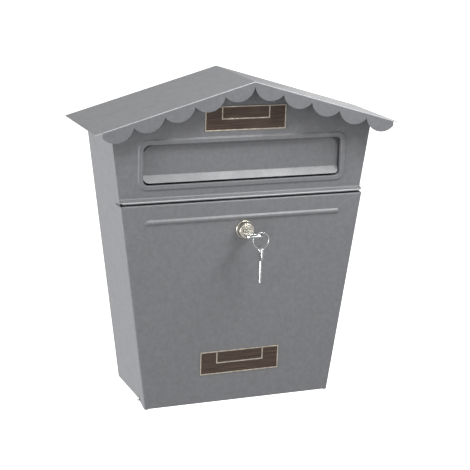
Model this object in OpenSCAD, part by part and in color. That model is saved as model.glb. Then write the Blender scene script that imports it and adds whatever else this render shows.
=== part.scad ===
// Wall mounted mailbox: folded sheet steel body, gabled roof with a scalloped
// valance, lifting letter flap, tilt-down door with a cam lock and two keys.
//
// Drawing datum: x = 0 is the middle, "depth" is measured forwards from the
// wall and "height" upwards from the lower edge of the door. place() moves
// that datum to the part's origin, the middle of the four wall holes.

/* [Sheet metal] */
// Thickness of every folded panel
sheet = 0.8; // [0.7:0.1:1]
// Half width of the body at the door's lower edge
body_half = 114; // [110:1:118]
// How much the half width grows for each millimetre of height
taper = 0.135; // [0.12:0.005:0.15]
// Depth of the body at the upper front panel
body_depth = 96; // [94:1:98]
// Height of the body's lower edge
body_bottom = 5; // [5:0.5:6]

/* [Roof] */
// Height of the ridge
ridge_height = 379.5; // [376:0.5:384]
// Height of the eaves
eave_height = 327; // [324:0.5:330]
// Half width of the roof
roof_half = 182.5; // [180:0.5:185]
// Depth of the roof
roof_depth = 120; // [116:1:124]
// Half width of the scalloped valance
valance_half = 174.5; // [172:0.5:176]
// Scallops on each slope
scallops = 5; // [4:1:6]
// Distance from the roof's fold to the scallop cusps
cusp_drop = 6; // [5:0.5:7]
// Depth of each scallop below its cusps
scallop_sag = 11; // [9:0.5:12]

/* [Letter slot and flap] */
// Half width of the slot
slot_half = 120.5; // [118:0.5:121]
// Height of the slot's lower edge
slot_bottom = 263; // [262:0.5:264]
// Height of the slot's upper edge
slot_top = 308.5; // [307.5:0.5:309]
// Corner radius of the slot
slot_corner = 7; // [5:0.5:8]
// Width of the raised frame round the slot
frame_margin = 6.8; // [6:0.1:7.5]
// Height of the raised frame
frame_rise = 1.5; // [1:0.1:1.8]
// Gap between the flap and the sides of the slot
flap_gap = 1; // [0.8:0.1:1.5]
// Depth of the flap's front face
flap_depth = 90.2; // [90:0.1:90.4]

/* [Door] */
// Height of the door
door_height = 242; // [240:0.5:243]
// Depth of the door's front face
door_depth = 102; // [101.5:0.5:102.5]
// Gap between the door's side edges and the body
door_gap = 0.7; // [0.7:0.05:0.9]
// Depth of the door's turned-back side edges
door_edge = 21.2; // [20.8:0.1:21.5]
// Height of the hinge pins
hinge_height = 8; // [8:0.1:8.4]
// Depth of the hinge pins
hinge_depth = 84; // [83.8:0.1:84.2]
// Radius of the hinge pins
hinge_pin_r = 1.6; // [1.5:0.05:1.7]
// Height of the pressed bead
bead_height = 221.7; // [220:0.1:224]

/* [Lock and keys] */
// Height of the lock
lock_height = 207.5; // [206:0.5:209]
// Radius of the lock's head
lock_head_r = 10.3; // [9.5:0.1:10.5]
// Radius of the head's front face
lock_face_r = 8; // [7.6:0.1:8.6]
// Length of the head in front of the door
lock_head_length = 9.5; // [8:0.5:10]
// Length of the cam from the lock's axis
cam_length = 32; // [30:0.5:33]
// Length of a key
key_length = 44; // [43:0.5:45]
// Depth of the tip of the key that is in the lock
key_tip_depth = 95; // [94.5:0.5:95.5]
// Inner radius of the split ring
ring_inner_r = 8.7; // [8.4:0.1:9]
// Radius of the split ring's section
ring_wire_r = 0.8; // [0.7:0.05:0.8]

/* [Plaques] */
// Width of a plaque
plaque_width = 98; // [90:1:100]
// Height of a plaque
plaque_height = 28; // [26:1:29]
// Height of the door plaque's lower edge
door_plaque_bottom = 35; // [30:1:60]
// Height of the upper plaque's lower edge
upper_plaque_bottom = 321; // [320:0.5:322]

/* [Wall fixing] */
// Distance between the left and right wall holes
hole_spacing_x = 180; // [160:5:190]
// Distance between the lower and upper wall holes
hole_spacing_z = 160; // [140:5:170]
// Radius of the wall holes
hole_r = 3.25; // [2.5:0.25:3.5]
// Height of the middle of the wall holes
hole_middle_height = 150; // [140:5:160]

/* [Hidden] */
$fn = 64;

// Finishes
paint = [0.52, 0.53, 0.55];
zinc = [0.72, 0.73, 0.75];
chrome = [0.86, 0.85, 0.82];
plaque_brown = [0.28, 0.24, 0.23];

// Body
edge_out = door_gap + sheet;
weld_lap = 10;
roof_lap_inner = 3;
roof_lap_outer = 140;
lap_end_gap = 4;
pitch = (ridge_height - eave_height) / roof_half;
pitch_angle = atan(pitch);
roof_under = ridge_height - sheet / cos(pitch_angle);
side_top = (roof_under - pitch * body_half) / (1 + pitch * taper);
side_front = body_depth - sheet;

// Lip along the front panel's lower edge
lip_top = 247.5;
lip_bottom = 244.5;
lip_height_at_panel = lip_top + sheet;
lip_half = half_at(door_height) + edge_out;
lip_corner = 3;

// Side panels
side_step = 243;
side_lap_width = 12;
side_lap_gap = 14;
return_depth = 97;
return_width = 9;
return_bottom = 26;
return_top = 238;
tab_bottom = hinge_height - 4.2;
tab_half = 5;

// Flap
flap_half = slot_half - flap_gap;
rod_r = 1.5;
rod_clearance = 0.06;
knuckle_r = 2.4;
rod_depth = flap_depth - knuckle_r;
rod_height = slot_top + 2;
knuckle_length = 40;
rod_half = 125.5;
finger_lip_top = 272.8;
finger_lip_bottom = slot_bottom + 2;
finger_lip_reach = 6.2;
finger_lip_corner = 6;
bracket_sheet = 1;
bracket_gap = 2.7;
stop_gap = 0.6;

// Door
door_face_back = door_depth - sheet;
door_bottom_half = 111;
door_bottom_reach = 24;
door_top_reach = 12;
hinge_clearance = 0.06;
hinge_eye_r = 3.2;
floor_depth = hinge_depth - 10.6;
bead_half = 119.5;
bead_r = 2.6;
bead_sink = 0.6;
strike_back = 86.8;
strike_half = 20;
strike_sheet = 1;
strike_top = slot_bottom - 8;
strike_bottom = 229;

// Lock
barrel_body_r = 8;
barrel_back = 87.8;
plug_r = 6;
plug_clearance = 0.06;
cam_front = 85.8;
cam_sheet = 2;
cam_width = 14;
stub_half = 3;
keyway_width = 9;
keyway_height = 2.6;
nut_flats = 22;
nut_thickness = 4.5;
washer_thickness = 1;

// Keys
key_sheet = 2;
blade_width = 8;
blade_length = 27;
bow_width = 20;
bow_corner = 6;
bow_slot_width = 13;
bow_slot_height = 6;
bow_rim = 3;
rim_clearance = 0.25;
bow_slot_middle = key_length - bow_rim - bow_slot_height / 2;
side_rim = (bow_width - bow_slot_width) / 2;
rim_corner_r = norm([side_rim / 2, key_sheet / 2]);
ring_x = (bow_width + bow_slot_width) / 4;
ring_depth = key_tip_depth + bow_slot_middle;
ring_height = lock_height + rim_corner_r + rim_clearance - ring_inner_r;
ring_mid_r = ring_inner_r + ring_wire_r;
spare_hinge_height = ring_height - ring_mid_r;
spare_slot_top = spare_hinge_height + ring_wire_r + rim_clearance;
spare_tip_height = spare_slot_top + bow_rim - key_length;
spare_twist = 12;

// ---- placing and shared shapes ----

// Moves the drawing datum to the part's origin.
module place() {
    translate([0, 0, -hole_middle_height]) children();
}

// Extrudes a 2D shape drawn in [x, height] from one depth to another.
module across_depth(from, to) {
    translate([0, -from, 0]) rotate([90, 0, 0]) linear_extrude(to - from) children();
}

// Extrudes a 2D shape drawn in [depth, height] sideways, from x = left to right.
module across_width(left, right) {
    translate([right, 0, 0]) rotate([90, 0, -90]) linear_extrude(right - left) children();
}

// Outer half width of the body at a height.
function half_at(height) = body_half + taper * height;

// Height of the roof's underside at a distance from the middle.
function roof_at(x) = roof_under - pitch * x;

// A strip of sheet that leans with the right side of the body, in [x, height].
module leaning_strip(low, high, out) {
    polygon([
        [half_at(low) + out - sheet, low],
        [half_at(low) + out, low],
        [half_at(high) + out, high],
        [half_at(high) + out - sheet, high]
    ]);
}

// Both leaning strips, right and left.
module leaning_strips(low, high, out) {
    leaning_strip(low, high, out);
    mirror([1, 0]) leaning_strip(low, high, out);
}

// A strip of sheet just under the roof, between two distances from the middle.
module rafter_strip(inner, outer) {
    drop = sheet / cos(pitch_angle);
    polygon([
        [inner, roof_at(inner)],
        [outer, roof_at(outer)],
        [outer, roof_at(outer) - drop],
        [inner, roof_at(inner) - drop]
    ]);
}

// House-shaped outline of the front and back panels.
module gable_outline(bottom) {
    polygon([
        [-half_at(bottom), bottom],
        [half_at(bottom), bottom],
        [half_at(side_top), side_top],
        [0, roof_under],
        [-half_at(side_top), side_top]
    ]);
}

// Rectangle with round corners, from its half width, lower and upper heights.
module round_slot(half, low, high, corner) {
    translate([-half + corner, low]) square([2 * (half - corner), high - low]);
    translate([-half, low + corner]) square([2 * half, high - low - 2 * corner]);
    for (x = [-half + corner, half - corner], z = [low + corner, high - corner])
        translate([x, z]) circle(corner);
}

// ---- fixed body ----

module back_panel() {
    color(paint) place() difference() {
        union() {
            across_depth(0, sheet) gable_outline(body_bottom);
            across_depth(sheet, weld_lap + sheet)
                leaning_strips(body_bottom + weld_lap + 2, side_top - lap_end_gap, -sheet);
            across_depth(sheet, weld_lap + sheet) roof_laps();
        }
        for (x = [-1, 1], z = [-1, 1])
            translate([x * hole_spacing_x / 2, 1, hole_middle_height + z * hole_spacing_z / 2])
                rotate([90, 0, 0]) cylinder(h = 3, r = hole_r);
    }
}

// Flanges of the back and front panels that are welded under the roof.
module roof_laps() {
    rafter_strip(roof_lap_inner, roof_lap_outer);
    mirror([1, 0]) rafter_strip(roof_lap_inner, roof_lap_outer);
}

// Side view of a side panel: straight back, hinge tab below, a step under the lip.
module side_outline() {
    polygon([
        [sheet, body_bottom],
        [hinge_depth - tab_half, body_bottom],
        [hinge_depth - tab_half + 1, tab_bottom],
        [hinge_depth + tab_half - 1, tab_bottom],
        [hinge_depth + tab_half, body_bottom],
        [return_depth, body_bottom],
        [return_depth, side_step],
        [side_front, side_step + 2],
        [side_front, side_top],
        [sheet, side_top]
    ]);
}

// The right side panel; the left one is its mirror image.
module side_panel() {
    top_half = half_at(side_top);
    difference() {
        union() {
            intersection() {
                across_depth(0, door_depth) leaning_strip(0, side_top, 0);
                across_width(body_half - 1, top_half + 1) side_outline();
            }
            across_depth(return_depth - sheet, return_depth) side_return();
            across_depth(side_lap_gap, side_front - side_lap_gap)
                rafter_strip(top_half - side_lap_width, top_half - sheet);
        }
        translate([body_half - return_width, -hinge_depth, hinge_height])
            rotate([0, 90, 0]) cylinder(h = 2 * return_width, r = hinge_pin_r);
    }
}

// Stiffening return along the side panel's front edge, behind the door.
module side_return() {
    polygon([
        [half_at(return_bottom) - return_width, return_bottom],
        [half_at(return_bottom) - sheet, return_bottom],
        [half_at(return_top) - sheet, return_top],
        [half_at(return_top) - return_width, return_top]
    ]);
}

module right_side_panel() {
    color(paint) place() side_panel();
}

module left_side_panel() {
    color(paint) place() mirror([1, 0, 0]) side_panel();
}

module floor_panel() {
    floor_half = half_at(body_bottom) - sheet;
    upstand = body_bottom + weld_lap;
    color(paint) place() {
        across_width(-floor_half, floor_half) polygon([
            [sheet, body_bottom],
            [floor_depth, body_bottom],
            [floor_depth, body_bottom + 5],
            [floor_depth - sheet, body_bottom + 5],
            [floor_depth - sheet, body_bottom + sheet],
            [2 * sheet, body_bottom + sheet],
            [2 * sheet, upstand],
            [sheet, upstand]
        ]);
        across_depth(2 * sheet, floor_depth - 2)
            leaning_strips(body_bottom + sheet, upstand, -sheet);
    }
}

// Front panel, its raised frame, side laps, roof laps and drip lip.
module front_panel() {
    outer_corner = slot_corner + 4;
    color(paint) place() difference() {
        union() {
            across_depth(side_front, body_depth) gable_outline(lip_top);
            across_depth(side_front, body_depth + frame_rise)
                round_slot(slot_half + frame_margin, slot_bottom - frame_margin,
                    slot_top + frame_margin, outer_corner);
            across_depth(side_front - weld_lap, side_front)
                leaning_strips(lip_top + weld_lap, side_top - lap_end_gap, -sheet);
            across_depth(side_front - weld_lap, side_front) roof_laps();
            slot_side_walls();
            drip_lip();
        }
        across_depth(side_front - 1, body_depth + frame_rise - sheet) difference() {
            round_slot(slot_half + frame_margin - sheet, slot_bottom - frame_margin + sheet,
                slot_top + frame_margin - sheet, outer_corner - sheet);
            for (side = [-1, 1])
                translate([side * (slot_half + sheet / 2) - sheet / 2, slot_bottom + slot_corner])
                    square([sheet, slot_top - slot_bottom - 2 * slot_corner]);
        }
        across_depth(side_front - 12, door_depth)
            round_slot(slot_half, slot_bottom, slot_top, slot_corner);
    }
}

// Turned-in edges at the two ends of the slot.
module slot_side_walls() {
    for (side = [-1, 1])
        across_depth(flap_depth + 1.3, body_depth)
            translate([side * (slot_half + sheet / 2) - sheet / 2, slot_bottom + slot_corner])
                square([sheet, slot_top - slot_bottom - 2 * slot_corner]);
}

// The lip turned forward over the door's upper edge, its front corners round.
module drip_lip() {
    intersection() {
        across_width(-lip_half, lip_half) polygon([
            [side_front, lip_top - 0.4],
            [side_front, lip_height_at_panel],
            [body_depth, lip_height_at_panel - 0.2],
            [door_depth, lip_bottom + sheet],
            [door_depth, lip_bottom],
            [door_depth - sheet, lip_bottom],
            [body_depth, lip_top - 0.4]
        ]);
        translate([0, 0, lip_bottom - 1]) linear_extrude(lip_height_at_panel - lip_bottom + 2) lip_plan();
    }
}

// The lip seen from above.
module lip_plan() {
    length = 4 * lip_corner;
    translate([-lip_half, -door_depth + lip_corner]) square([2 * lip_half, length]);
    translate([-lip_half + lip_corner, -door_depth]) square([2 * (lip_half - lip_corner), length]);
    for (side = [-1, 1])
        translate([side * (lip_half - lip_corner), -door_depth + lip_corner]) circle(lip_corner);
}

module roof() {
    color(paint) place() {
        across_depth(0, roof_depth) roof_section();
        across_depth(roof_depth - sheet, roof_depth) intersection() {
            union() {
                valance_side();
                mirror([1, 0]) valance_side();
            }
            valance_limits();
        }
    }
}

// The two slopes, seen from the front.
module roof_section() {
    polygon([
        [-roof_half, eave_height],
        [0, ridge_height],
        [roof_half, eave_height],
        [roof_half, eave_height - sheet / cos(pitch_angle)],
        [0, roof_under],
        [-roof_half, eave_height - sheet / cos(pitch_angle)]
    ]);
}

// One side of the valance: a row of discs centred on a line along the slope.
module valance_side() {
    chord = valance_half / cos(pitch_angle) / scallops;
    scallop_r = chord * chord / (8 * scallop_sag) + scallop_sag / 2;
    translate([0, ridge_height - cusp_drop]) rotate(-pitch_angle)
        for (i = [0:scallops - 1])
            translate([(i + 0.5) * chord, scallop_r - scallop_sag]) circle(scallop_r);
}

// Everything under the roof and within the valance's ends.
module valance_limits() {
    low = eave_height - 40;
    polygon([
        [-valance_half, low],
        [valance_half, low],
        [valance_half, roof_at(valance_half) + sheet / 2],
        [0, roof_under + sheet / 2],
        [-valance_half, roof_at(valance_half) + sheet / 2]
    ]);
}

// Z-shaped plate welded behind the front panel; the cam turns up behind it.
module strike_plate() {
    color(zinc) place() across_width(-strike_half, strike_half) polygon([
        [side_front, lip_height_at_panel + 1],
        [side_front, strike_top],
        [side_front - strike_sheet, strike_top],
        [side_front - strike_sheet, lip_height_at_panel + 1 + strike_sheet],
        [strike_back, lip_height_at_panel + 1 + strike_sheet],
        [strike_back, strike_bottom],
        [strike_back + strike_sheet, strike_bottom],
        [strike_back + strike_sheet, lip_height_at_panel + 1]
    ]);
}

// A blank name plate with a raised border and an inner border hung from its top.
module plaque(bottom, depth) {
    plate = 0.5;
    border = 1.3;
    rise = 0.3;
    inner_half = 29.2;
    inner_drop = 15.2;
    across_depth(depth, depth + plate)
        translate([-plaque_width / 2, bottom]) square([plaque_width, plaque_height]);
    across_depth(depth + plate, depth + plate + rise) {
        difference() {
            translate([-plaque_width / 2, bottom]) square([plaque_width, plaque_height]);
            translate([-plaque_width / 2 + border, bottom + border])
                square([plaque_width - 2 * border, plaque_height - 2 * border]);
        }
        difference() {
            translate([-inner_half, bottom + plaque_height - inner_drop])
                square([2 * inner_half, inner_drop - border / 2]);
            translate([-inner_half + border, bottom + plaque_height - inner_drop + border])
                square([2 * (inner_half - border), inner_drop]);
        }
    }
}

module upper_plaque() {
    color(plaque_brown) place() plaque(upper_plaque_bottom, body_depth);
}

// ---- letter flap ----

// Right flap bracket: a web that holds the rod, a welded leaf, and a wing that
// the flap rests on, which closes the gap at its end and at its round corner.
module flap_bracket() {
    web = slot_half + bracket_gap;
    leaf_bottom = slot_bottom + 2;
    leaf_top = slot_top + 5.5;
    wing_front = flap_depth - sheet - stop_gap;
    wing_inner = flap_half - 2.5;
    wing_corner = flap_half - 2 * slot_corner + 1;
    wing_top = slot_top - 0.7;
    difference() {
        union() {
            translate([web, -side_front, leaf_bottom])
                cube([bracket_sheet, side_front - 84, leaf_top - leaf_bottom]);
            translate([web, -side_front, leaf_bottom])
                cube([8, bracket_sheet, leaf_top - leaf_bottom]);
            across_depth(wing_front - bracket_sheet, wing_front) polygon([
                [wing_inner, leaf_bottom],
                [web + bracket_sheet, leaf_bottom],
                [web + bracket_sheet, wing_top],
                [wing_corner, wing_top],
                [wing_corner, wing_top - 6],
                [wing_inner, wing_top - 2 * slot_corner]
            ]);
        }
        translate([web - 1, -rod_depth, rod_height])
            rotate([0, 90, 0]) cylinder(h = 4, r = rod_r);
    }
}

module right_flap_bracket() {
    color(paint) place() flap_bracket();
}

module left_flap_bracket() {
    color(paint) place() mirror([1, 0, 0]) flap_bracket();
}

// A cylinder along x on the flap's hinge axis.
module on_flap_axis(left, right, r) {
    translate([left, -rod_depth, rod_height]) rotate([0, 90, 0]) cylinder(h = right - left, r = r);
}

module flap_hinge_rod() {
    color(zinc) place() on_flap_axis(-rod_half, rod_half, rod_r);
}

module rod_end_clips() {
    clip_inner = slot_half + bracket_gap + bracket_sheet;
    color(zinc) place() for (side = [0, 1]) mirror([side, 0, 0]) difference() {
        on_flap_axis(clip_inner, clip_inner + 0.8, 3.2);
        on_flap_axis(clip_inner - 1, clip_inner + 2, rod_r);
    }
}

// The flap hangs on three knuckles and ends in a lip turned forward.
module letter_flap() {
    back = flap_depth - sheet;
    color(paint) place() difference() {
        union() {
            across_depth(back, flap_depth) difference() {
                round_slot(flap_half, finger_lip_bottom, rod_height - 3, 2 * slot_corner);
                translate([-slot_half, finger_lip_bottom - 1])
                    square([2 * slot_half, finger_lip_top - 0.2 - finger_lip_bottom + 1]);
            }
            for (middle = [-1, 0, 1] * (flap_half - 2 * slot_corner - knuckle_length / 2)) {
                on_flap_axis(middle - knuckle_length / 2, middle + knuckle_length / 2, knuckle_r);
                across_depth(back, flap_depth)
                    translate([middle - knuckle_length / 2, rod_height - 4])
                    square([knuckle_length, 4]);
            }
            finger_lip();
        }
        on_flap_axis(-slot_half, slot_half, rod_r + rod_clearance);
    }
}

// Lower strip of the flap, leaning forward, with round lower corners.
module finger_lip() {
    back = flap_depth - sheet;
    intersection() {
        across_width(-flap_half, flap_half) polygon([
            [back, finger_lip_top],
            [flap_depth, finger_lip_top + 0.4],
            [flap_depth + finger_lip_reach, finger_lip_bottom + 0.5],
            [flap_depth + finger_lip_reach - 0.5, finger_lip_bottom]
        ]);
        across_depth(80, door_depth)
            round_slot(flap_half, finger_lip_bottom, slot_top, finger_lip_corner);
    }
}

// ---- door ----

// Side view of the door's turned-back edge: round under the hinge pin.
module door_edge_outline() {
    rear = door_depth - door_edge;
    polygon([
        [door_depth, 0],
        [door_depth, door_height],
        [rear, door_height],
        [rear, hinge_height],
        [hinge_depth, hinge_height - hinge_eye_r]
    ]);
    translate([hinge_depth, hinge_height]) circle(hinge_eye_r);
}

// Bar with round ends along the door's bead.
module bead_bar(r, depth) {
    translate([-bead_half + r, -depth, bead_height]) {
        rotate([0, 90, 0]) cylinder(h = 2 * (bead_half - r), r = r);
        sphere(r);
        translate([2 * (bead_half - r), 0, 0]) sphere(r);
    }
}

module door_panel() {
    out = edge_out;
    color(paint) place() difference() {
        union() {
            across_depth(door_face_back, door_depth) polygon([
                [-half_at(0) - out, 0],
                [half_at(0) + out, 0],
                [half_at(door_height) + out, door_height],
                [-half_at(door_height) - out, door_height]
            ]);
            intersection() {
                across_depth(door_depth - door_edge, door_depth) leaning_strips(0, door_height, out);
                across_width(-half_at(door_height) - 5, half_at(door_height) + 5) door_edge_outline();
            }
            translate([-door_bottom_half, -door_depth, 0])
                cube([2 * door_bottom_half, door_bottom_reach, sheet]);
            translate([-half_at(door_height) + 2, -door_depth, door_height - sheet])
                cube([2 * half_at(door_height) - 4, door_top_reach, sheet]);
            bead_bar(bead_r, door_depth - bead_sink);
        }
        bead_bar(bead_r - sheet, door_depth - bead_sink - 0.1);
        across_depth(door_face_back - 4, door_face_back)
            translate([-bead_half, bead_height - 4]) square([2 * bead_half, 8]);
        translate([0, -door_face_back + 1, lock_height])
            rotate([90, 0, 0]) cylinder(h = 3, r = barrel_body_r + 0.1);
        translate([-half_at(0) - 10, -hinge_depth, hinge_height])
            rotate([0, 90, 0]) cylinder(h = 2 * half_at(0) + 20, r = hinge_pin_r + hinge_clearance);
    }
}

module door_plaque() {
    color(plaque_brown) place() plaque(door_plaque_bottom, door_depth);
}

// A shoulder rivet on each side, through the door's edge and the side panel.
module door_hinge_pins() {
    reach = hinge_height + hinge_eye_r;
    inner = half_at(hinge_height - 3.5) - sheet - 0.2;
    outer = half_at(reach) + edge_out + 0.2;
    color(zinc) place() for (side = [0, 1]) mirror([side, 0, 0])
        translate([0, -hinge_depth, hinge_height]) rotate([0, 90, 0]) {
            translate([0, 0, inner - 1]) cylinder(h = outer + 1 - inner + 0.5, r = hinge_pin_r);
            translate([0, 0, inner - 1]) cylinder(h = 1, r = 3);
            translate([0, 0, outer]) cylinder(h = 0.8, r = 3);
            translate([0, 0, outer + 0.8]) cylinder(h = 0.5, r1 = 3, r2 = 2);
        }
}

// ---- lock, in depth along its own axis ----

// Moves the z axis to the lock's axis, z being the depth from the wall.
module on_lock_axis() {
    translate([0, 0, lock_height]) rotate([90, 0, 0]) children();
}

module lock_barrel() {
    head_front = door_depth + lock_head_length;
    color(chrome) place() on_lock_axis() difference() {
        union() {
            translate([0, 0, barrel_back]) cylinder(h = door_depth - barrel_back, r = barrel_body_r);
            translate([0, 0, door_depth]) cylinder(h = 2, r = lock_head_r);
            translate([0, 0, door_depth + 2])
                cylinder(h = lock_head_length - 3, r1 = lock_head_r - 0.5, r2 = lock_face_r + 0.8);
            translate([0, 0, head_front - 1]) cylinder(h = 1, r1 = lock_face_r + 0.8, r2 = lock_face_r);
        }
        translate([0, 0, barrel_back - 1])
            cylinder(h = head_front - barrel_back + 2, r = plug_r + plug_clearance);
    }
}

module lock_washer() {
    color(zinc) place() on_lock_axis() translate([0, 0, door_face_back - washer_thickness])
        difference() {
            cylinder(h = washer_thickness, r = 12.5);
            translate([0, 0, -1]) cylinder(h = 3, r = barrel_body_r);
        }
}

module lock_nut() {
    back = door_face_back - washer_thickness - nut_thickness;
    color(zinc) place() on_lock_axis() translate([0, 0, back]) difference() {
        cylinder(h = nut_thickness, r = nut_flats / sqrt(3), $fn = 6);
        translate([0, 0, -1]) cylinder(h = nut_thickness + 2, r = barrel_body_r);
    }
}

module lock_plug() {
    plug_front = door_depth + lock_head_length + 0.4;
    color(chrome) place() on_lock_axis() difference() {
        union() {
            translate([0, 0, cam_front]) cylinder(h = plug_front - cam_front, r = plug_r);
            translate([-stub_half, -stub_half, cam_front - cam_sheet])
                cube([2 * stub_half, 2 * stub_half, cam_sheet]);
        }
        translate([-keyway_width / 2, -keyway_height / 2, key_tip_depth - 1])
            cube([keyway_width, keyway_height, plug_front]);
        translate([0, 0, cam_front - 3]) cylinder(h = 8, r = 1.5);
    }
}

// The cam points left with the lock open, and turns up to lock.
module lock_cam() {
    eye = cam_width / 2;
    color(zinc) place() across_depth(cam_front - cam_sheet, cam_front)
        translate([0, lock_height]) difference() {
            union() {
                circle(eye);
                translate([-cam_length + 3, -eye + 1]) square([cam_length - 3, cam_width - 2]);
                translate([-cam_length, -eye + 4]) square([4, cam_width - 8]);
                for (z = [-1, 1]) translate([-cam_length + 3, z * (eye - 4)]) circle(3);
            }
            translate([-stub_half, -stub_half]) square(2 * stub_half);
        }
}

module cam_screw() {
    color(zinc) place() on_lock_axis() {
        translate([0, 0, cam_front - cam_sheet - 2.2]) cylinder(h = 2.2, r = 4.2);
        translate([0, 0, cam_front - cam_sheet]) cylinder(h = 6.5, r = 1.5);
    }
}

// ---- keys and ring ----

// Flat outline of a key, its tip at the start and its bow at the far end.
module key_outline() {
    cuts = [[5, 1.6], [9.5, 2.4], [14, 1.2]];
    difference() {
        union() {
            translate([-blade_width / 2 + 1.5, 0]) square([blade_width - 3, 3]);
            translate([-blade_width / 2, 2]) square([blade_width, blade_length]);
            for (x = [-1, 1]) translate([x * (blade_width / 2 - 2), 2]) circle(2);
            translate([-bow_width / 2 + bow_corner, blade_length])
                square([bow_width - 2 * bow_corner, key_length - blade_length]);
            translate([-bow_width / 2, blade_length + bow_corner])
                square([bow_width, key_length - blade_length - 2 * bow_corner]);
            for (x = [-1, 1], y = [blade_length + bow_corner, key_length - bow_corner])
                translate([x * (bow_width / 2 - bow_corner), y]) circle(bow_corner);
        }
        for (cut = cuts) translate([blade_width / 2, cut[0]]) rotate(45)
            square(cut[1] * sqrt(2), center = true);
        translate([0, bow_slot_middle]) {
            square([bow_slot_width - bow_slot_height, bow_slot_height], center = true);
            for (x = [-1, 1])
                translate([x * (bow_slot_width - bow_slot_height) / 2, 0])
                    circle(bow_slot_height / 2);
        }
    }
}

// In the lock, lying flat with the tip inside the plug.
module key() {
    color(chrome) place() translate([0, -key_tip_depth, lock_height - key_sheet / 2])
        mirror([0, 1, 0]) linear_extrude(key_sheet) key_outline();
}

module split_ring() {
    color(chrome) place() translate([ring_x, -ring_depth, ring_height]) rotate([90, 0, 0])
        rotate_extrude() translate([ring_mid_r, 0]) circle(ring_wire_r, $fn = 32);
}

// Hangs from the bottom of the ring, nearly square to it.
module spare_key() {
    color(chrome) place() translate([ring_x, -ring_depth, spare_tip_height]) rotate([0, 0, -spare_twist])
        translate([-key_sheet / 2, 0, 0]) rotate([90, 0, 90]) linear_extrude(key_sheet) key_outline();
}

back_panel();
left_side_panel();
right_side_panel();
floor_panel();
front_panel();
roof();
strike_plate();
upper_plaque();
left_flap_bracket();
right_flap_bracket();
flap_hinge_rod();
rod_end_clips();
letter_flap();
door_panel();
door_plaque();
door_hinge_pins();
lock_barrel();
lock_washer();
lock_nut();
lock_plug();
lock_cam();
cam_screw();
key();
split_ring();
spare_key();
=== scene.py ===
"""The looks of a wall mounted mailbox in painted sheet steel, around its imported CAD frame.

Shapes are drawn in millimetres as [x, depth, height], with x = 0 in the middle,
depth forwards from the wall and height upwards from the door's lower edge.
at() turns such a point into the shared frame, in metres.
"""

import math
from types import SimpleNamespace

import bmesh
import bpy
from mathutils import Matrix, Vector
from mathutils.geometry import delaunay_2d_cdt


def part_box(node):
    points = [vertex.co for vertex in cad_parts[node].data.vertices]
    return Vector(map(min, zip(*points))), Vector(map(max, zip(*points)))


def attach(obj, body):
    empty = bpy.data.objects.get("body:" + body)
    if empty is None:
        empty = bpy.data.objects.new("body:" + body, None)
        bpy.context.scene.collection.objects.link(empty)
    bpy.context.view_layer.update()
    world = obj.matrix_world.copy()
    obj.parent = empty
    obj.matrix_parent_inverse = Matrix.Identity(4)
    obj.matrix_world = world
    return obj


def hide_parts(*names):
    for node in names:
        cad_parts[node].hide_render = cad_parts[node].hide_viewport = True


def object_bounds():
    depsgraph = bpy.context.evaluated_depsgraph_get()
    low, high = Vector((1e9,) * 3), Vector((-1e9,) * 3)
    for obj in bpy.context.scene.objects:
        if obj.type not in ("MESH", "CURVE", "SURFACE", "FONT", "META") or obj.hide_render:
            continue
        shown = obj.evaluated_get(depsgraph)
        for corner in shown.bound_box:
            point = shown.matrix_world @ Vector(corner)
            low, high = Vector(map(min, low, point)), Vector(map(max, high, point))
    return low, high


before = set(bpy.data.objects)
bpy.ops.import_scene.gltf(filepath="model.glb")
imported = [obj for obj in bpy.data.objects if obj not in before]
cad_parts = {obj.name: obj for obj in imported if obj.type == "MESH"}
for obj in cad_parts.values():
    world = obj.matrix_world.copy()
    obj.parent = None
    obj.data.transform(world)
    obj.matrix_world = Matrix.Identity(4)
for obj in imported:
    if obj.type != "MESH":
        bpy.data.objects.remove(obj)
cad_low, cad_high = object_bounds()

MM = 0.001
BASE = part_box("door_panel")[0].z
HALF_TURN = math.pi
FULL_TURN = 2 * math.pi


def at(x, depth, height):
    """A drawing point in the shared frame, in metres."""
    return Vector((x * MM, -depth * MM, BASE + height * MM))


def box_mm(node):
    """A CAD node's box in drawing millimetres."""
    low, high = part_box(node)
    return SimpleNamespace(
        left=low.x / MM,
        right=high.x / MM,
        back=-high.y / MM,
        front=-low.y / MM,
        low=(low.z - BASE) / MM,
        high=(high.z - BASE) / MM,
    )


# ---- sizes: what the boxes give, then the drawing's own ----

ROOF = box_mm("roof")
FRONT = box_mm("front_panel")
DOOR = box_mm("door_panel")
FLAP = box_mm("letter_flap")
BARREL = box_mm("lock_barrel")
PLUG = box_mm("lock_plug")
RING = box_mm("split_ring")
KEY = box_mm("key")
SPARE = box_mm("spare_key")
PINS = box_mm("door_hinge_pins")
RODS = box_mm("flap_hinge_rod")
LOWER_PLAQUE = box_mm("door_plaque")
UPPER_PLAQUE = box_mm("upper_plaque")

SHEET = 0.8
TAPER = 0.135
BODY_HALF = 114.0
BODY_DEPTH = UPPER_PLAQUE.back
SIDE_FRONT = BODY_DEPTH - SHEET
DOOR_FACE = FRONT.front
DOOR_GAP = 1.5
EAVE_HEIGHT = 327.0
PITCH = (ROOF.high - EAVE_HEIGHT) / ROOF.right
PITCH_COS = math.cos(math.atan(PITCH))
PITCH_SIN = math.sin(math.atan(PITCH))
ROOF_UNDER = FRONT.high
SIDE_TOP = (ROOF_UNDER - PITCH * BODY_HALF) / (1 + PITCH * TAPER)
SIDE_BOTTOM = 5.0
HINGE_DEPTH, HINGE_HEIGHT = 84.0, 8.0
LOCK_HEIGHT = (BARREL.low + BARREL.high) / 2
WELD_GAP = 0.05
LAP_WIDTH = 10.0
FINE = 0.15


def half_at(height):
    """Outer half width of the body at a height."""
    return BODY_HALF + TAPER * height


# ---- 2D drawing ----


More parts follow.
